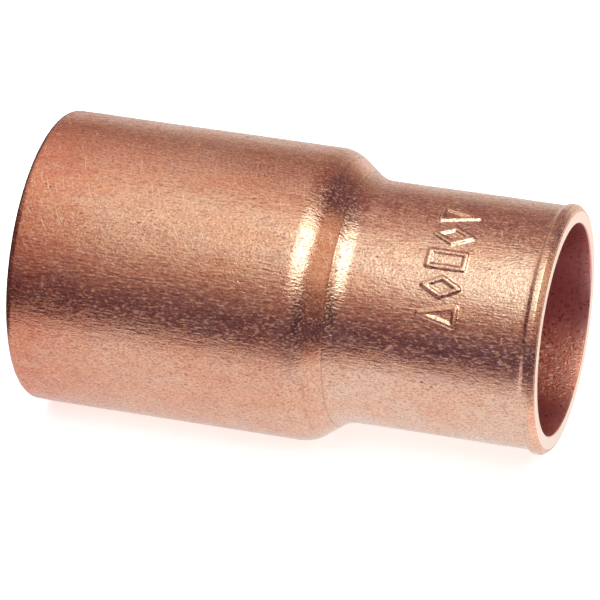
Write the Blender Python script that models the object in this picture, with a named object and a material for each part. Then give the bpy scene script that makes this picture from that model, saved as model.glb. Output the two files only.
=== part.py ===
"""Concentric reducer for copper tube, 3/4 in fitting end to 1/2 in solder cup.

The real piece is one length of seamless tube, swaged down and sized, so it is one body turned
about its own axis. It lies along X: the large male end faces -X, the cup opens at +X, and the
origin is on the axis at mid-length. Metres, +Z up.
"""

import math

import bmesh
import bpy
from mathutils import Matrix

MM = 0.001

# Driving dimensions
LENGTH = 40.2 * MM
MALE_RADIUS = 22.225 * MM / 2  # 7/8 in, the outside of 3/4 in copper tube
MALE_WALL = 1.0 * MM
BARREL_RADIUS = 9.18 * MM  # outside of the cup end
CUP_RADIUS = 15.98 * MM / 2  # takes 1/2 in copper tube, 15.875 mm outside
CUP_DEPTH = 12.9 * MM
THROAT_RADIUS = 7.65 * MM  # past the tube stop, left at the size the swaging gave it
SHOULDER_START = 21.4 * MM  # from the male face to where the outside starts to fall
SHOULDER_SLOPE = math.radians(37)
LIP_RADIUS = 9.33 * MM
LIP_LENGTH = 1.2 * MM  # from the mouth back to the plain barrel
LIP_RISE = 0.6 * MM  # the part of that length over which the lip swells

# Edge and bend radii
MALE_EDGE = 0.6 * MM
CREST_BEND = 2.7 * MM
FOOT_BEND = 2.4 * MM
LIP_EDGE = 0.4 * MM
INNER_EDGE = 0.12 * MM
THROAT_WALL = BARREL_RADIUS - THROAT_RADIUS

SIDES = 64
SHARP_ANGLE = math.radians(30)
COPPER = (0.86, 0.42, 0.28, 1.0)
COPPER_ROUGHNESS = 0.28


def clear_scene():
    for obj in list(bpy.data.objects):
        bpy.data.objects.remove(obj, do_unlink=True)


def rounded(corners):
    """Points along a closed outline of (x, r, bend radius, steps), each corner made an arc."""
    points = []
    for i, (x, r, bend, steps) in enumerate(corners):
        if not bend:
            points.append((x, r))
            continue
        back = direction((x, r), corners[i - 1])
        ahead = direction((x, r), corners[(i + 1) % len(corners)])
        half_angle = math.acos(back[0] * ahead[0] + back[1] * ahead[1]) / 2
        middle = direction((0, 0), (back[0] + ahead[0], back[1] + ahead[1]))
        to_centre = bend / math.sin(half_angle)
        centre = (x + middle[0] * to_centre, r + middle[1] * to_centre)
        reach = bend / math.tan(half_angle)
        start = (x + back[0] * reach, r + back[1] * reach)
        first = math.atan2(start[1] - centre[1], start[0] - centre[0])
        side = back[0] * ahead[1] - back[1] * ahead[0]
        turn = math.copysign(math.pi - 2 * half_angle, -side)
        for step in range(steps + 1):
            angle = first + turn * step / steps
            points.append((centre[0] + bend * math.cos(angle), centre[1] + bend * math.sin(angle)))
    return points


def direction(start, end):
    dx, dr = end[0] - start[0], end[1] - start[1]
    size = math.hypot(dx, dr)
    return dx / size, dr / size


def wall_section():
    """The cut wall from the male face round to itself, outside first: x along the axis, r out."""
    male_face, mouth = -LENGTH / 2, LENGTH / 2
    male_bore = MALE_RADIUS - MALE_WALL
    half_bend = math.tan(SHOULDER_SLOPE / 2)
    crest = male_face + SHOULDER_START + CREST_BEND * half_bend
    foot = crest + (MALE_RADIUS - BARREL_RADIUS) / math.tan(SHOULDER_SLOPE)
    inner_crest = crest - MALE_WALL * half_bend
    inner_foot = inner_crest + (male_bore - THROAT_RADIUS) / math.tan(SHOULDER_SLOPE)
    tube_stop = mouth - CUP_DEPTH
    return rounded([
        (male_face, MALE_RADIUS, MALE_EDGE, 4),
        (crest, MALE_RADIUS, CREST_BEND, 6),
        (foot, BARREL_RADIUS, FOOT_BEND, 5),
        (mouth - LIP_LENGTH, BARREL_RADIUS, 0, 0),
        (mouth - LIP_LENGTH + LIP_RISE, LIP_RADIUS, 0, 0),
        (mouth, LIP_RADIUS, LIP_EDGE, 3),
        (mouth, CUP_RADIUS, INNER_EDGE, 1),
        (tube_stop, CUP_RADIUS, 0, 0),
        (tube_stop, THROAT_RADIUS, 0, 0),
        (inner_foot, THROAT_RADIUS, FOOT_BEND + THROAT_WALL, 4),
        (inner_crest, male_bore, CREST_BEND - MALE_WALL, 4),
        (male_face, male_bore, INNER_EDGE, 1),
    ])


def turned_mesh(name, section):
    """The section spun about X, with a flat facet rather than an edge at the very bottom."""
    bm = bmesh.new()
    ring = [bm.verts.new((x, 0, r)) for x, r in section]
    edges = [bm.edges.new((ring[i - 1], ring[i])) for i in range(len(ring))]
    half_facet = Matrix.Rotation(math.pi / SIDES, 3, "X")
    bmesh.ops.rotate(bm, cent=(0, 0, 0), matrix=half_facet, verts=ring)
    bmesh.ops.spin(
        bm, geom=ring + edges, cent=(0, 0, 0), axis=(1, 0, 0),
        angle=2 * math.pi, steps=SIDES, use_merge=True,
    )
    bmesh.ops.recalc_face_normals(bm, faces=bm.faces)
    mesh = bpy.data.meshes.new(name)
    bm.to_mesh(mesh)
    bm.free()
    mesh.shade_smooth()
    mesh.set_sharp_from_angle(angle=SHARP_ANGLE)
    return mesh


def copper():
    material = bpy.data.materials.new("copper")
    material.use_nodes = True
    shader = material.node_tree.nodes["Principled BSDF"]
    shader.inputs["Base Color"].default_value = COPPER
    shader.inputs["Metallic"].default_value = 1.0
    shader.inputs["Roughness"].default_value = COPPER_ROUGHNESS
    return material


def make_reducer_body():
    """Male barrel, shoulder, cup barrel, lip and tube stop: one piece of metal."""
    mesh = turned_mesh("reducer_body", wall_section())
    mesh.materials.append(copper())
    body = bpy.data.objects.new("reducer_body", mesh)
    bpy.context.scene.collection.objects.link(body)
    return body


clear_scene()
make_reducer_body()
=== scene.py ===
"""Studio view of a wrought copper concentric reducer lying on a pale floor.

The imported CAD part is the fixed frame. Its one node is replaced by a finer mesh of the same piece,
with the raised marks, the rolled lip, the forming line and the slight unevenness of real drawn tube.
Metres, axis along X, +X towards the cup end, +Z up.
"""

import math

import bpy
import numpy as np
from mathutils import Matrix, Vector


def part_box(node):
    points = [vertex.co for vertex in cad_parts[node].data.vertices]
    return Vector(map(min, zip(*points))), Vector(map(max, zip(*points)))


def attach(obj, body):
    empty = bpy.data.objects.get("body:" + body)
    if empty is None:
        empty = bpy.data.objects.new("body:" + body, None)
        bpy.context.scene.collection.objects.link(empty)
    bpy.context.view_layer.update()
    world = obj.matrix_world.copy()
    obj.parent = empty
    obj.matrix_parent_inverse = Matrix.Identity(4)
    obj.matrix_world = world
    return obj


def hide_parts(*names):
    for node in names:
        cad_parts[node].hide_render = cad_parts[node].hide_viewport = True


MM = 0.001
TURN = 2 * math.pi
NO_LENGTH = 1e-6 * MM  # less than this is nothing
CAD_SIDES = 64  # flat sides round the CAD solid
SMALL_BEND = 0.15 * MM  # a bend up to this radius needs only coarse steps
BEND_STEP = math.radians(5)
SMALL_BEND_STEP = math.radians(15)


# ---------------------------------------------------------------- the frame

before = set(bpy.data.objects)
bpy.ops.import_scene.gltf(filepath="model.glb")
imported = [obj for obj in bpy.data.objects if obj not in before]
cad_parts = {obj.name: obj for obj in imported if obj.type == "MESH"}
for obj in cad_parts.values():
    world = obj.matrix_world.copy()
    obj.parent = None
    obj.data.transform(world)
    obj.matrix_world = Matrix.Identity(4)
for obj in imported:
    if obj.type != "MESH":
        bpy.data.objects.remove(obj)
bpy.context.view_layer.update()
low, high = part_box("reducer_body")

MALE_FACE = low.x
MOUTH = high.x
MALE_RADIUS = (high.z - low.z) / 2 / math.cos(math.pi / CAD_SIDES)
FLOOR = -MALE_RADIUS

# The rest of the section, as in the CAD part
MALE_BORE = MALE_RADIUS - 1.0 * MM
BARREL_RADIUS = 9.18 * MM
CUP_RADIUS = 7.99 * MM
THROAT_RADIUS = 7.65 * MM
LIP_RADIUS = 9.33 * MM
CUP_DEPTH = 12.9 * MM
SHOULDER_START = MALE_FACE + 21.4 * MM
SHOULDER_SLOPE = math.radians(37)
CREST_BEND = 2.7 * MM
FOOT_BEND = 2.4 * MM

# Detail that only the fine mesh has
MALE_EDGE = 0.62 * MM
MALE_FACE_INNER = MALE_BORE + 0.2 * MM  # the male face is skin outside this radius, bore inside it
LIP_SAG = 0.13 * MM  # how much further the lip was rolled out underneath than on top
CREASE = SHOULDER_START + 2.84 * MM  # a tool line where the cone meets the foot bend
CREST_LINE = SHOULDER_START + 1.62 * MM  # where the crest bend meets the cone
CREASE_DEPTH = 0.022 * MM
CREASE_HALF_WIDTH = 0.09 * MM
DENT_COUNT = 70
LIP_START = MOUTH - 1.12 * MM
RIM_INNER = CUP_RADIUS + 0.14 * MM
RIM_OUTER = 8.93 * MM
RIM_START = MOUTH - 0.005 * MM  # past this is the rim's flat face

MARK_CENTRE = MOUTH - 7.7 * MM
MARK_LONG = 3.1 * MM  # along the axis
MARK_WIDE = 1.75 * MM
MARK_RELIEF = 0.13 * MM
MARK_STROKE = 0.2 * MM  # half the width of a raised line
MARK_FIRST_ANGLE = math.radians(9.5)
MARK_STEP = math.radians(13.2)

# The gaps between the mesh's rings along the wall
GAP_ON_MARKS = 0.066 * MM
GAP_AT_CREASE = 0.045 * MM
GAP_ON_MALE_BARREL = 0.4 * MM
GAP_ELSEWHERE = 0.16 * MM
GAP_INSIDE = 0.8 * MM

# Its columns round the axis: close across the marks, wide everywhere else
CLOSE_COLUMNS = 160
WIDE_COLUMNS = 104
CLOSE_MARGIN = math.radians(12)  # past the middle of the first and the last mark

# The piece's materials, in the order of its slots
SKIN, RIM, BORE = range(3)


# ---------------------------------------------------------------- the wall's section

def direction(start, end):
    step = np.subtract(end, start)
    return step / np.hypot(*step)


def rounded(corners):
    """Points along an open line of (x, r, bend radius), each bend made a smooth arc."""
    points = [np.array(corners[0][:2])]
    for before, (x, r, bend), after in zip(corners, corners[1:], corners[2:]):
        corner = np.array([x, r])
        back, ahead = direction(corner, before[:2]), direction(corner, after[:2])
        if not bend:
            points.append(corner)
            continue
        half_angle = math.acos(np.clip(back @ ahead, -1, 1)) / 2
        reach = bend / math.tan(half_angle)
        middle = (back + ahead) / np.linalg.norm(back + ahead)
        centre = corner + middle * bend / math.sin(half_angle)
        start, end = corner + back * reach - centre, corner + ahead * reach - centre
        turned = math.pi - 2 * half_angle
        step_angle = BEND_STEP if bend > SMALL_BEND else SMALL_BEND_STEP
        steps = max(2, round(turned / step_angle))
        for step in range(steps + 1):
            share = step / steps
            weights = np.sin([(1 - share) * turned, share * turned]) / math.sin(turned)
            points.append(centre + weights[0] * start + weights[1] * end)
    points.append(np.array(corners[-1][:2]))
    return points


def filled(points, longest):
    """The same line with points no further apart than longest says, a function of x."""
    out = [points[0]]
    for start, end in zip(points, points[1:]):
        length = np.hypot(*(end - start))
        done = 0.0
        while done < length - NO_LENGTH:
            x = start[0] + (end[0] - start[0]) * done / length
            done += (length - done) / math.ceil((length - done) / longest(x))
            out.append(start + (end - start) * done / length)
    return out


def outside_line():
    half_bend = math.tan(SHOULDER_SLOPE / 2)
    crest = SHOULDER_START + CREST_BEND * half_bend
    foot = crest + (MALE_RADIUS - BARREL_RADIUS) / math.tan(SHOULDER_SLOPE)
    line = rounded([
        (MALE_FACE, MALE_FACE_INNER, 0),
        (MALE_FACE, MALE_RADIUS - 0.03 * MM, MALE_EDGE),
        (MALE_FACE + 1.8 * MM, MALE_RADIUS, 2.0 * MM),
        (crest, MALE_RADIUS, CREST_BEND),
        (foot, BARREL_RADIUS, FOOT_BEND),
        (LIP_START, BARREL_RADIUS, 0.1 * MM),
        (LIP_START + 0.26 * MM, LIP_RADIUS, 0.12 * MM),
        (MOUTH - 0.42 * MM, LIP_RADIUS, 0.1 * MM),
        (MOUTH - 0.02 * MM, RIM_OUTER + 0.08 * MM, 0.1 * MM),
        (MOUTH - 0.05 * MM, RIM_OUTER, 0.02 * MM),
        (MOUTH, RIM_OUTER - 0.06 * MM, 0.03 * MM),
        (MOUTH, RIM_INNER, 0),
    ])

    def longest(x):
        if abs(x - MARK_CENTRE) < MARK_LONG / 2 + 0.3 * MM:
            return GAP_ON_MARKS
        if abs(x - CREASE) < 4 * CREASE_HALF_WIDTH:
            return GAP_AT_CREASE
        return GAP_ON_MALE_BARREL if x < SHOULDER_START else GAP_ELSEWHERE

    return filled(line, longest)


def inside_line():
    half_bend = math.tan(SHOULDER_SLOPE / 2)
    crest = SHOULDER_START + (CREST_BEND - MALE_RADIUS + MALE_BORE) * half_bend
    foot = crest + (MALE_BORE - THROAT_RADIUS) / math.tan(SHOULDER_SLOPE)
    stop = MOUTH - CUP_DEPTH
    return filled(rounded([
        (MOUTH, RIM_INNER, 0),
        (MOUTH, CUP_RADIUS, 0.13 * MM),
        (stop, CUP_RADIUS, 0.05 * MM),
        (stop - 0.02 * MM, THROAT_RADIUS, 0.08 * MM),
        (foot, THROAT_RADIUS, 3.6 * MM),
        (crest, MALE_BORE, 1.7 * MM),
        (MALE_FACE, MALE_BORE, 0.12 * MM),
        (MALE_FACE, MALE_FACE_INNER, 0),
    ]), lambda x: GAP_INSIDE)


# ---------------------------------------------------------------- raised marks

def outline_distance(points, corners):
    """Distance of each point from the closed line through the corners."""
    nearest = np.full(len(points), np.inf)
    for start, end in zip(corners, corners[1:] + corners[:1]):
        start, along = np.array(start), np.subtract(end, start)
        share = np.clip((points - start) @ along / (along @ along), 0, 1)
        gap = np.hypot(*(points - start - share[:, None] * along).T)
        nearest = np.minimum(nearest, gap)
    return nearest


def mark_shapes():
    """Plain figures in a square from -1 to 1: triangle, diamond, oblong, diamond, triangle."""
    triangle = [(-1.0, -1.0), (1.0, 0.0), (-1.0, 1.0)]
    diamond = [(-1.0, 0.0), (0.0, -1.0), (1.0, 0.0), (0.0, 1.0)]
    oblong = [(-1.0, -0.9), (1.0, -0.9), (1.0, 0.9), (-1.0, 0.9)]
    turned_back = [(-u, w) for u, w in triangle]
    return [triangle, diamond, oblong, diamond, turned_back]


def mark_height(x, angle):
    """How far each point stands proud: raised lines with rounded tops and steep sides."""
    height = np.zeros_like(x)
    reach = 0.5 * MARK_LONG + 2 * MARK_STROKE
    half = np.array([MARK_LONG / 2 - MARK_STROKE, MARK_WIDE / 2 - MARK_STROKE])
    for i, corners in enumerate(mark_shapes()):
        across = (angle - MARK_FIRST_ANGLE - i * MARK_STEP) * BARREL_RADIUS
        near = (np.abs(x - MARK_CENTRE) < reach) & (np.abs(across) < reach)
        points = np.stack([x[near] - MARK_CENTRE, across[near]], 1)
        gap = outline_distance(points, [tuple(half * corner) for corner in corners]) / MARK_STROKE
        height[near] = np.maximum(height[near], MARK_RELIEF * smooth_fall(gap, 0.35, 1.35))
    return height


def smooth_fall(values, start, end):
    """1 before start, 0 past end, and smooth between them."""
    share = np.clip((end - values) / (end - start), 0, 1)
    return share * share * (3 - 2 * share)


# ---------------------------------------------------------------- unevenness

def waviness(x, angle, seed, count, longest, shortest):
    """Smooth bumps between -1 and 1 or so, the same all the way round: waves of random heading."""
    rng = np.random.default_rng(seed)
    total = np.zeros_like(x)
    for _ in range(count):
        size = math.exp(rng.uniform(math.log(shortest), math.log(longest)))
        heading = rng.uniform(0, TURN)
        around = round(math.cos(heading) * TURN * BARREL_RADIUS / size)
        along = math.sin(heading) * TURN / size
        total += np.sin(along * x + around * angle + rng.uniform(0, TURN))
    return total / math.sqrt(count)


def unevenness(x, angle):
    """Radial error of the real surface: it is slightly out of round, with finer ripples on that."""
    slow = waviness(x, angle, seed=3, count=14, longest=22 * MM, shortest=7 * MM)
    fine = waviness(x, angle, seed=5, count=40, longest=4.5 * MM, shortest=1.6 * MM)
    return 0.009 * MM * slow + 0.0022 * MM * fine


def dents(x, angle, radius):
    """Shallow dents from handling, most of them longer along the axis."""
    rng = np.random.default_rng(11)
    total = np.zeros_like(x)
    for _ in range(DENT_COUNT):
        place, turn = rng.uniform(MALE_FACE + 1 * MM, MOUTH - 2 * MM), rng.uniform(0, TURN)
        long, wide = rng.uniform(0.5, 1.6) * MM, rng.uniform(0.4, 0.8) * MM
        across = ((angle - turn + math.pi) % TURN - math.pi) * radius
        depth = rng.uniform(0.003, 0.009) * MM
        total -= depth * np.exp(-((x - place) / long) ** 2 - (across / wide) ** 2)
    return total


def skin_detail(x, angle, radius):
    """What is added to the outside's radius: the marks, dents, tool line and the lip's sag."""
    crease = CREASE_DEPTH * np.exp(-((x - CREASE) / CREASE_HALF_WIDTH) ** 2)
    on_lip = 1 - smooth_fall(x, LIP_START - 0.3 * MM, LIP_START + 0.3 * MM)
    underneath = 0.5 - 0.5 * np.cos(angle)
    off_rim = np.clip((radius - RIM_INNER) / MM, 0, 1)
    sag = LIP_SAG * on_lip * underneath * off_rim
    return mark_height(x, angle) + dents(x, angle, radius) - crease + sag


# ---------------------------------------------------------------- the mesh

def ring_angles():
    """Angles round the axis from +Z towards -Y, close together across the marks."""
    start = MARK_FIRST_ANGLE - CLOSE_MARGIN
    end = MARK_FIRST_ANGLE + (len(mark_shapes()) - 1) * MARK_STEP + CLOSE_MARGIN
    close = np.linspace(start, end, CLOSE_COLUMNS, endpoint=False)
    wide = np.linspace(end, start + TURN, WIDE_COLUMNS, endpoint=False)
    return np.concatenate([close, wide])


def make_reducer():
    """The whole wall: the section turned about the axis, uneven and with the marks raised."""
    outside, inside = outside_line(), inside_line()
    section = np.array(outside + inside[1:-1])
    angles = ring_angles()
    x, angle = np.meshgrid(section[:, 0], angles, indexing="ij")
    radius = np.repeat(section[:, 1:], len(angles), axis=1)
    shape = x.shape
    x, angle, radius = x.ravel(), angle.ravel(), radius.ravel()

    skin = slice(0, len(outside) * len(angles))
    radius[skin] += skin_detail(x[skin], angle[skin], radius[skin])
    radius += unevenness(x, angle)

    points = np.stack([x, -radius * np.sin(angle), radius * np.cos(angle)], 1)
    index = np.arange(len(points)).reshape(shape)
    down, right = np.roll(index, -1, axis=0), np.roll(index, -1, axis=1)
    faces = np.stack([index, right, np.roll(right, -1, axis=0), down], -1).reshape(-1, 4)

    mesh = bpy.data.meshes.new("copper_reducer")
    mesh.from_pydata(points.tolist(), [], faces.tolist())
    slot = np.where(np.arange(len(section)) < len(outside), SKIN, BORE)
    slot[section[:, 0] > RIM_START] = RIM
    mesh.polygons.foreach_set("material_index", slot.repeat(len(angles)))
    mesh.validate()
    mesh.shade_smooth()
    piece = bpy.data.objects.new("copper_reducer", mesh)
    bpy.context.scene.collection.objects.link(piece)
    return piece


# ---------------------------------------------------------------- copper

class Graph:
    """Short calls for building the node tree of one material or of the world."""

    def __init__(self, owner, coordinates="Object"):
        owner.use_nodes = True
        self.tree = owner.node_tree
        self.owner = owner
        self.place = self.add("ShaderNodeTexCoord").outputs[coordinates]

    def add(self, kind, **settings):
        node = self.tree.nodes.new(kind)
        for key, value in settings.items():
            setattr(node, key, value)
        return node

    def put(self, socket, value):
        if isinstance(value, bpy.types.NodeSocket):
            self.tree.links.new(value, socket)
        else:
            socket.default_value = value

    def stretched(self, along, across, turn=0.0):
        """The place on the piece, in units of a pattern this long along X and this wide round it."""
        place = self.place
        if turn:
            node = self.add("ShaderNodeVectorRotate", rotation_type="Y_AXIS")
            self.put(node.inputs["Vector"], place)
            self.put(node.inputs["Angle"], turn)
            place = node.outputs["Vector"]
        node = self.add("ShaderNodeMapping")
        self.put(node.inputs["Vector"], place)
        self.put(node.inputs["Scale"], (1 / along, 1 / across, 1 / across))
        return node.outputs["Vector"]

    def noise(self, along, across, detail=2.0, rough=0.5, warp=0.0, turn=0.0):
        node = self.add("ShaderNodeTexNoise")
        self.put(node.inputs["Vector"], self.stretched(along, across, turn))
        self.put(node.inputs["Scale"], 1.0)
        self.put(node.inputs["Detail"], detail)
        self.put(node.inputs["Roughness"], rough)
        self.put(node.inputs["Distortion"], warp)
        return node.outputs["Fac"]

    def spots(self, along, across, spread=1.0):
        node = self.add("ShaderNodeTexVoronoi")
        self.put(node.inputs["Vector"], self.stretched(along, across))
        self.put(node.inputs["Scale"], 1.0)
        self.put(node.inputs["Randomness"], spread)
        return node.outputs["Distance"]

    def span(self, value, start, end, low=0.0, high=1.0, smooth=True):
        node = self.add("ShaderNodeMapRange")
        node.interpolation_type = "SMOOTHSTEP" if smooth else "LINEAR"
        self.put(node.inputs["Value"], value)
        for key, number in (("From Min", start), ("From Max", end), ("To Min", low), ("To Max", high)):
            self.put(node.inputs[key], number)
        return node.outputs["Result"]

    def calc(self, operation, *values):
        node = self.add("ShaderNodeMath", operation=operation)
        for socket, value in zip(node.inputs, values):
            self.put(socket, value)
        return node.outputs[0]

    def mix(self, share, a, b):
        node = self.add("ShaderNodeMix", data_type="RGBA")
        self.put(node.inputs["Factor"], share)
        self.put(node.inputs["A"], a)
        self.put(node.inputs["B"], b)
        return node.outputs["Result"]

    def bump(self, height, depth, strength=1.0, onto=None):
        node = self.add("ShaderNodeBump")
        self.put(node.inputs["Height"], height)
        self.put(node.inputs["Distance"], depth)
        self.put(node.inputs["Strength"], strength)
        if onto is not None:
            self.put(node.inputs["Normal"], onto)
        return node.outputs["Normal"]

    def parts(self, vector):
        node = self.add("ShaderNodeSeparateXYZ")
        self.put(node.inputs[0], vector)
        return node.outputs


def metal(name):
    """A new metal material's graph and its shader's inputs."""
    graph = Graph(bpy.data.materials.new(name))
    shader = graph.tree.nodes["Principled BSDF"]
    shader.inputs["Metallic"].default_value = 1.0
    return graph, shader.inputs


def rgba(red, green, blue):
    return (red, green, blue, 1.0)


COPPER = rgba(0.93, 0.50, 0.345)
ORANGE_COPPER = rgba(0.92, 0.43, 0.27)
RED_COPPER = rgba(0.82, 0.30, 0.185)
PINK_COPPER = rgba(0.94, 0.545, 0.40)
PALE_COPPER = rgba(0.94, 0.60, 0.44)
BRIGHT_COPPER = rgba(0.98, 0.68, 0.53)
# Dark tarnish for the flecks and nicks, also used as the painted shade of the crest and crease rings
TARNISH_AND_PAINTED_SHADE = rgba(0.36, 0.14, 0.11)
PLUM_STAIN = rgba(0.56, 0.25, 0.26)


def thin_line(graph, x, centre, half_width):
    """1 on a ring round the piece and 0 past half_width to either side of it."""
    core = 0.2 * half_width
    rise = graph.span(x, centre - half_width, centre - core)
    fall = graph.span(x, centre + core, centre + half_width, 1.0, 0.0)
    return graph.calc("MULTIPLY", rise, fall)


def copper_skin():
    """Drawn tube: fine lengthwise marks, dense light and dark flecks, smoother metal on the cone. Painted
    shade: dark rings at the crest line and the crease, and a darker orange tint on the cone.
    """
    graph, shader = metal("copper_skin")
    x = graph.parts(graph.place)["X"]
    left = graph.span(x, SHOULDER_START + 1.2 * MM, SHOULDER_START + 1.8 * MM)
    right = graph.span(x, SHOULDER_START + 2.7 * MM, SHOULDER_START + 2.9 * MM, 1.0, 0.0)
    cone = graph.calc("MULTIPLY", left, right)
    calm = graph.span(cone, 0.0, 1.0, 1.0, 0.4, smooth=False)

    grain = graph.noise(0.20 * MM, 0.15 * MM, 2.0, 0.6)
    dashes = graph.noise(1.0 * MM, 0.15 * MM, 2.0, 0.55, 0.3)
    ripples = graph.noise(2.6 * MM, 0.55 * MM, 2.0, 0.5)
    cloud = graph.noise(5.0 * MM, 2.6 * MM, 3.0, 0.6)
    patch = graph.noise(2.4 * MM, 1.6 * MM, 2.0, 0.5)
    flecks = graph.noise(0.34 * MM, 0.13 * MM, 1.0, 0.5)
    matt = graph.span(flecks, 0.54, 0.68)
    nicks = graph.span(graph.spots(0.9 * MM, 0.28 * MM), 0.10, 0.24, 1.0, 0.0)
    nicks = graph.calc("MULTIPLY", nicks, graph.span(patch, 0.55, 0.66))
    scratches = graph.span(graph.noise(0.07 * MM, 2.2 * MM, 1.0, 0.5, turn=0.7), 0.67, 0.73)

    stains = graph.noise(1.7 * MM, 0.8 * MM, 3.0, 0.65)
    # Painted shade: thin dark rings painted into the colour, a ragged one where the crest bend meets the
    # cone and one along the crease. The groove at the crease itself is real.
    ragged = graph.calc("ADD", x, graph.calc("MULTIPLY", graph.calc("SUBTRACT", dashes, 0.5), 0.5 * MM))
    painted_crest_shade = thin_line(graph, ragged, CREST_LINE, 0.13 * MM)
    painted_crest_shade = graph.calc("MULTIPLY", painted_crest_shade, graph.span(patch, 0.40, 0.60, 0.0, 0.35))
    painted_crease_shade = graph.calc("MULTIPLY", thin_line(graph, x, CREASE, 0.08 * MM), 0.36)
    lines = graph.calc("MAXIMUM", painted_crest_shade, painted_crease_shade)

    end = graph.span(x, MALE_FACE, MALE_FACE + 10 * MM)
    cup = graph.span(x, SHOULDER_START, SHOULDER_START + 6 * MM)
    colour = graph.mix(cup, graph.mix(end, RED_COPPER, COPPER), PINK_COPPER)
    colour = graph.mix(graph.span(cloud, 0.36, 0.56, 0.55, 0.0), colour, ORANGE_COPPER)
    colour = graph.mix(graph.span(cloud, 0.52, 0.70, 0.0, 0.45), colour, PALE_COPPER)
    # Painted shade: the cone band is tinted a darker orange, standing for the duller tone it reflects.
    colour = graph.mix(graph.calc("MULTIPLY", cone, 0.6), colour, ORANGE_COPPER)
    colour = graph.mix(graph.span(stains, 0.34, 0.50, 0.22, 0.0), colour, PLUM_STAIN)
    colour = graph.mix(graph.span(grain, 0.30, 0.50, 0.44, 0.0), colour, TARNISH_AND_PAINTED_SHADE)
    colour = graph.mix(graph.span(grain, 0.52, 0.66, 0.0, 0.40), colour, BRIGHT_COPPER)
    colour = graph.mix(graph.span(flecks, 0.32, 0.43, 0.46, 0.0), colour, TARNISH_AND_PAINTED_SHADE)
    colour = graph.mix(graph.calc("MULTIPLY", nicks, 0.75), colour, TARNISH_AND_PAINTED_SHADE)
    colour = graph.mix(scratches, colour, BRIGHT_COPPER)
    # Painted shade: the dark rings at the crest line and the crease.
    colour = graph.mix(lines, colour, TARNISH_AND_PAINTED_SHADE)
    graph.put(shader["Base Color"], colour)

    rough = graph.span(dashes, 0.3, 0.7, 0.12, 0.20)
    rough = graph.calc("ADD", rough, graph.calc("MULTIPLY", matt, 0.44))
    rough = graph.calc("ADD", rough, graph.span(stains, 0.40, 0.62, -0.03, 0.08))
    graph.put(shader["Roughness"], graph.calc("MULTIPLY", rough, graph.span(cone, 0.0, 1.0, 1.0, 0.85)))

    normal = graph.bump(ripples, 0.022 * MM, calm)
    normal = graph.bump(dashes, 0.027 * MM, calm, normal)
    normal = graph.bump(grain, 0.022 * MM, calm, normal)
    normal = graph.bump(graph.calc("MULTIPLY", nicks, -1.0), 0.02 * MM, calm, normal)
    graph.put(shader["Normal"], normal)
    return graph.owner


def copper_rim():
    """The cut and rolled edge of the mouth: clean bright metal with fine rings."""
    graph, shader = metal("copper_rim")
    grain = graph.noise(0.1 * MM, 0.1 * MM, 2.0)
    rings = graph.noise(0.05 * MM, 1.2 * MM, 2.0)
    graph.put(shader["Base Color"], graph.mix(grain, rgba(0.97, 0.74, 0.62), rgba(0.98, 0.82, 0.73)))
    graph.put(shader["Roughness"], graph.span(rings, 0.3, 0.7, 0.26, 0.36))
    graph.put(shader["Normal"], graph.bump(rings, 0.004 * MM, 0.6, graph.bump(grain, 0.004 * MM, 0.6)))
    return graph.owner


def copper_bore():
    """The sized inside: dull plum, with rings from the punch, and a painted highlight near the mouth: a
    redder patch with bright streaks.
    """
    graph, shader = metal("copper_bore")
    grain = graph.noise(0.2 * MM, 0.2 * MM, 3.0, 0.6)
    rings = graph.noise(0.16 * MM, 5.0 * MM, 2.0)
    cloud = graph.noise(4.0 * MM, 4.0 * MM, 2.0)
    # Painted highlight: a redder patch with bright streaks, set where the inside of the cup shows through
    # the mouth, stands for light reflected there. Its streaky bump and extra roughness are surface texture.
    patch_streaks = graph.noise(0.45 * MM, 0.16 * MM, 2.0, 0.6, 1.2, turn=0.5)
    highlight_patch_centre = (MOUTH - 1.8 * MM, 5.0 * MM, -6.2 * MM)
    apart = graph.add("ShaderNodeVectorMath", operation="DISTANCE")
    graph.put(apart.inputs[0], graph.place)
    graph.put(apart.inputs[1], highlight_patch_centre)
    painted_highlight_patch = graph.span(apart.outputs["Value"], 1.8 * MM, 5.2 * MM, 1.0, 0.0)
    bright = graph.calc("MULTIPLY", graph.span(patch_streaks, 0.58, 0.65), painted_highlight_patch)

    colour = graph.mix(graph.span(cloud, 0.35, 0.65), rgba(0.85, 0.43, 0.43), rgba(0.90, 0.50, 0.50))
    # Painted highlight: the patch's deeper red and its bright streaks.
    colour = graph.mix(graph.calc("MULTIPLY", painted_highlight_patch, 0.85), colour, rgba(0.84, 0.26, 0.17))
    colour = graph.mix(bright, colour, rgba(0.98, 0.66, 0.46))
    colour = graph.mix(graph.span(grain, 0.34, 0.44, 0.4, 0.0), colour, TARNISH_AND_PAINTED_SHADE)
    graph.put(shader["Base Color"], colour)

    rough = graph.calc("ADD", graph.span(grain, 0.3, 0.7, 0.26, 0.42), graph.calc("MULTIPLY", bright, 0.2))
    graph.put(shader["Roughness"], rough)

    normal = graph.bump(rings, 0.008 * MM, 0.5)
    normal = graph.bump(grain, 0.006 * MM, 0.8, normal)
    graph.put(shader["Normal"], graph.bump(patch_streaks, 0.05 * MM, painted_highlight_patch, normal))
    return graph.owner


# ---------------------------------------------------------------- the studio

COVE_FLOOR = 0.8  # radius of the level floor
COVE_BEND = 0.4  # radius of the curve from the floor up into the wall
COVE_TOP = 1.6
COVE_SIDES = 96

CAMERA_AZIMUTH = math.radians(17.3)
CAMERA_ELEVATION = math.radians(28.8)
CAMERA_DISTANCE = 346.1 * MM
CAMERA_LENS = 276  # in mm, on a sensor 36 mm wide
AIM_RIGHT, AIM_UP = -0.455 * MM, -0.657 * MM  # from the origin, as the camera sees it


def staged(name, points, faces, material):
    """A mesh that belongs to the studio and not to the object."""
    mesh = bpy.data.meshes.new(name)
    mesh.from_pydata(points, [], faces)
    mesh.materials.append(material)
    obj = bpy.data.objects.new(name, mesh)
    bpy.context.scene.collection.objects.link(obj)
    return obj


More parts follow.
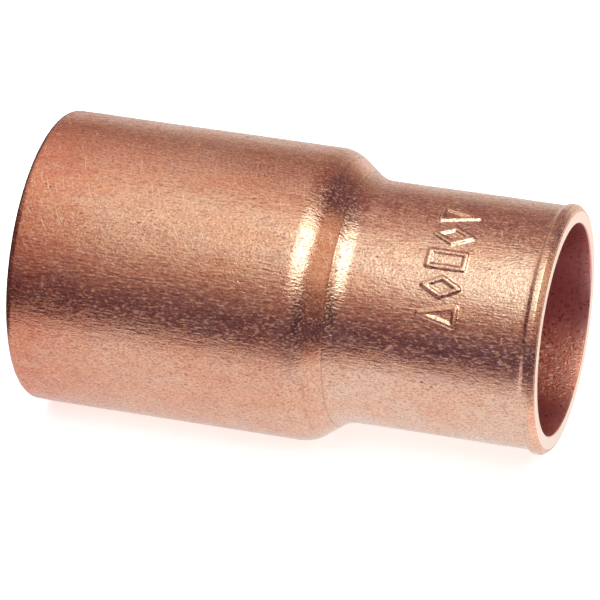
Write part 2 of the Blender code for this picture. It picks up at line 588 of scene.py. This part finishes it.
def turned_cove():
    """A round floor that curves up into a wall, as points and faces."""
    line = [(0.001, 0), (0.1, 0), (0.4, 0), (COVE_FLOOR, 0)]
    for t in np.linspace(0.1, math.pi / 2, 12):
        line.append((COVE_FLOOR + COVE_BEND * math.sin(t), COVE_BEND - COVE_BEND * math.cos(t)))
    line.append((COVE_FLOOR + COVE_BEND, COVE_TOP))

    points = []
    for r, z in line:
        for i in range(COVE_SIDES):
            angle = TURN * i / COVE_SIDES
            points.append((r * math.cos(angle), r * math.sin(angle), FLOOR + z))

    faces = []
    for row in range(0, len(points) - COVE_SIDES, COVE_SIDES):
        for i in range(COVE_SIDES):
            following = (i + 1) % COVE_SIDES
            faces.append((row + i, row + following, row + COVE_SIDES + following, row + COVE_SIDES + i))
    return points, faces + [tuple(range(COVE_SIDES))]


def floor_material():
    """White paper that glows a little, so the shadow on it stays pale."""
    graph = Graph(bpy.data.materials.new("floor_paper"))
    shader = graph.tree.nodes["Principled BSDF"].inputs
    graph.put(shader["Base Color"], rgba(0.8, 0.8, 0.8))
    graph.put(shader["Roughness"], 0.9)
    graph.put(shader["Specular IOR Level"], 0.0)
    graph.put(shader["Emission Color"], rgba(1, 1, 1))
    graph.put(shader["Emission Strength"], 0.66)
    return graph.owner


def make_floor():
    """The floor and wall that the camera sees. The metal mirrors the panel floor_glow instead."""
    floor = staged("floor", *turned_cove(), floor_material())
    floor.data.shade_smooth()
    floor.visible_glossy = False
    floor.visible_diffuse = False


def emitter(name, colour_of, clear=False):
    """A material that shines with the colour that colour_of gives for its graph."""
    graph = Graph(bpy.data.materials.new(name))
    graph.tree.nodes.remove(graph.tree.nodes["Principled BSDF"])
    shine = graph.add("ShaderNodeEmission")
    graph.put(shine.inputs["Color"], colour_of(graph))
    surface = shine.outputs[0]
    if clear:
        both = graph.add("ShaderNodeAddShader")
        graph.put(both.inputs[0], surface)
        graph.put(both.inputs[1], graph.add("ShaderNodeBsdfTransparent").outputs[0])
        surface = both.outputs[0]
    graph.put(graph.tree.nodes["Material Output"].inputs["Surface"], surface)
    return graph.owner


def card(name, height, left, right, front, back, material):
    """A level panel, seen only in reflections. It faces down, or up if left and right are swapped."""
    corners = [(left, back, height), (right, back, height), (right, front, height), (left, front, height)]
    obj = staged(name, corners, [(0, 1, 2, 3)], material)
    obj.visible_camera = False
    obj.visible_diffuse = False
    obj.visible_shadow = False
    return obj


def floor_glow(graph):
    """White near the object and behind it, dark further in front and off the male end."""
    where = graph.parts(graph.place)
    past_end = graph.calc("SUBTRACT", graph.calc("ABSOLUTE", where["X"]), 16 * MM)
    past_end = graph.calc("MAXIMUM", past_end, 0.0)
    squares = graph.calc("ADD", graph.calc("POWER", past_end, 2.0), graph.calc("POWER", where["Y"], 2.0))
    away = graph.calc("SQRT", squares)
    past_male_end = graph.calc("MAXIMUM", graph.calc("SUBTRACT", -16 * MM, where["X"]), 0.0)
    behind = graph.calc("SUBTRACT", where["Y"], graph.calc("MULTIPLY", past_male_end, 2.2))
    sides = graph.span(behind, -20 * MM, 30 * MM, 1.0, 0.0)
    skewed = graph.calc("ADD", away, graph.calc("MULTIPLY", where["X"], 0.3))
    brown = graph.calc("MULTIPLY", graph.span(skewed, 25 * MM, 35 * MM), sides)
    dark = graph.calc("MULTIPLY", graph.span(skewed, 34 * MM, 50 * MM), sides)
    cup_side = graph.span(where["X"], -2 * MM, 3 * MM)
    white = graph.mix(cup_side, rgba(0.84, 0.84, 0.84), rgba(0.88, 0.96, 0.97))
    white = graph.mix(graph.span(where["X"], 20 * MM, 24 * MM), white, rgba(1.08, 1.00, 0.92))
    near = graph.mix(brown, white, rgba(0.44, 0.27, 0.24))
    darkest = graph.span(where["X"], -20 * MM, 20 * MM)
    darkest = graph.mix(darkest, rgba(0.125, 0.085, 0.135), rgba(0.115, 0.08, 0.12))
    glow = graph.mix(dark, near, darkest)
    far_left = graph.calc("MULTIPLY", graph.span(where["X"], -38 * MM, -29 * MM, 1.0, 0.0), sides)
    return graph.mix(far_left, glow, rgba(0.09, 0.06, 0.07))


def key_glow(graph):
    """Brightest above the cup end, and falling off slowly towards the male end."""
    where = graph.parts(graph.place)
    left = graph.span(where["X"], -197 * MM, 90 * MM, 0.0, 0.5, smooth=False)
    left = graph.calc("ADD", left, graph.span(where["X"], -58 * MM, 0 * MM, 0.0, 0.5))
    right = graph.span(where["X"], 260 * MM, 290 * MM, 1.0, 0.0)
    front = graph.span(where["Y"], -420 * MM, -280 * MM)
    back = graph.span(where["Y"], -60 * MM, 45 * MM, 1.0, 0.0)
    shine = graph.calc("MULTIPLY", graph.calc("MULTIPLY", left, right), graph.calc("MULTIPLY", front, back))
    return graph.mix(shine, rgba(0, 0, 0), rgba(2.08, 3.12, 3.03))


def ceiling_glow(graph):
    """A lit ceiling behind the male end, whose front and right edges run askew."""
    where = graph.parts(graph.place)
    across = graph.calc("ADD", where["X"], graph.calc("MULTIPLY", where["Y"], 0.34))
    right = graph.span(across, -40 * MM, -12 * MM, 1.0, 0.0)
    ahead = graph.calc("SUBTRACT", where["Y"], graph.calc("MULTIPLY", where["X"], 2.5))
    front = graph.span(ahead, 185 * MM, 300 * MM)
    back = graph.span(where["Y"], 300 * MM, 500 * MM, 1.0, 0.0)
    shine = graph.calc("MULTIPLY", right, graph.calc("MULTIPLY", front, back))
    return graph.mix(shine, rgba(0, 0, 0), rgba(0.42, 0.44, 0.39))


def side_glow(graph):
    """One warm tone all over."""
    return rgba(0.75, 0.61, 0.48)


def make_lights():
    """Four panels for the metal to mirror, and one lamp for the floor that the camera sees."""
    card(
        "softbox_key", height=0.29, left=-0.18, right=0.45, front=-0.46, back=0.12,
        material=emitter("softbox_key", key_glow, clear=True),
    )
    card(
        "ceiling", height=0.30, left=-0.8, right=0.1, front=-0.08, back=0.55,
        material=emitter("ceiling", ceiling_glow, clear=True),
    )
    card(
        "floor_glow", height=FLOOR, left=1.5, right=-1.5, front=-1.5, back=1.5,
        material=emitter("floor_glow", floor_glow),
    )
    side = card(
        "side_reflector", height=0.0, left=-0.085, right=0.085, front=-0.17, back=0.12,
        material=emitter("side_reflector", side_glow),
    )
    upright = Matrix.Rotation(math.radians(90), 4, "Y")
    side.matrix_world = Matrix.Translation((0.26, 0, 0.178)) @ upright

    data = bpy.data.lights.new("floor_light", "AREA")
    data.size = 2.0
    data.energy = 36
    light = bpy.data.objects.new("floor_light", data)
    light.location = (0.15, -0.2, 1.0)
    light.rotation_euler = Vector((0, 0, 1)).rotation_difference(light.location).to_euler()
    light.visible_glossy = False
    bpy.context.scene.collection.objects.link(light)


def make_world():
    """A dim room: dark at the horizon, brown higher up, darker at the back right, pale low behind."""
    graph = Graph(bpy.data.worlds.new("studio"), "Generated")
    way = graph.parts(graph.place)
    height = way["Z"]
    horizon = graph.mix(graph.span(way["X"], 0.15, 0.4), rgba(0.185, 0.125, 0.175), rgba(0.13, 0.09, 0.12))
    room = graph.mix(graph.span(height, 0.1, 0.48), horizon, rgba(0.48, 0.32, 0.27))
    behind = graph.mix(graph.span(height, 0.4, 0.62), rgba(0.37, 0.26, 0.23), rgba(0.30, 0.18, 0.18))
    room = graph.mix(graph.span(way["Y"], 0.1, 0.5), room, behind)
    streak = graph.span(way["X"], 0.28, 0.42)
    streak = graph.calc("MULTIPLY", streak, graph.span(way["Y"], -0.52, -0.36, 1.0, 0.0))
    streak = graph.calc("MULTIPLY", streak, graph.span(height, 0.26, 0.38, 1.0, 0.0))
    room = graph.mix(streak, room, rgba(0.07, 0.05, 0.08))
    right = graph.span(way["X"], 0.78, 0.88)
    right = graph.calc("MULTIPLY", right, graph.span(way["Y"], 0.1, 0.4, 1.0, 0.0))
    room = graph.mix(right, room, rgba(0.36, 0.23, 0.20))
    dim = graph.calc("MULTIPLY", graph.span(way["X"], 0.18, 0.42), graph.span(height, 0.26, 0.46))
    dim = graph.calc("MULTIPLY", dim, graph.span(way["Y"], 0.1, 0.3))
    room = graph.mix(dim, room, rgba(0.17, 0.12, 0.16))
    low = graph.calc("MULTIPLY", graph.span(way["Y"], 0.7, 0.88), graph.span(height, 0.05, 0.27, 1.0, 0.0))
    room = graph.mix(low, room, rgba(0.78, 0.81, 0.75))
    room = graph.mix(graph.span(way["X"], -0.75, -0.45, 1.0, 0.0), room, rgba(0.11, 0.07, 0.08))
    graph.put(graph.tree.nodes["Background"].inputs["Color"], room)
    graph.owner.cycles_visibility.diffuse = False
    bpy.context.scene.world = graph.owner


def make_camera():
    """The photograph's view: from the front right, well above, through a long lens."""
    level = math.cos(CAMERA_ELEVATION)
    back = Vector((
        math.sin(CAMERA_AZIMUTH) * level,
        -math.cos(CAMERA_AZIMUTH) * level,
        math.sin(CAMERA_ELEVATION),
    ))
    right = Vector((math.cos(CAMERA_AZIMUTH), math.sin(CAMERA_AZIMUTH), 0))
    up = back.cross(right)
    aim = right * AIM_RIGHT + up * AIM_UP
    data = bpy.data.cameras.new("camera")
    data.sensor_width = 36
    data.lens = CAMERA_LENS
    data.clip_start = 0.01
    camera = bpy.data.objects.new("camera", data)
    turned = Matrix((right, up, back)).transposed().to_4x4()
    camera.matrix_world = Matrix.Translation(aim + back * CAMERA_DISTANCE) @ turned
    bpy.context.scene.collection.objects.link(camera)
    bpy.context.scene.camera = camera


# ---------------------------------------------------------------- put together

make_camera()
make_world()
make_lights()
make_floor()

reducer = make_reducer()
for material in (copper_skin(), copper_rim(), copper_bore()):
    reducer.data.materials.append(material)
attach(reducer, "root")
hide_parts("reducer_body")

bpy.context.scene.view_settings.view_transform = "Standard"
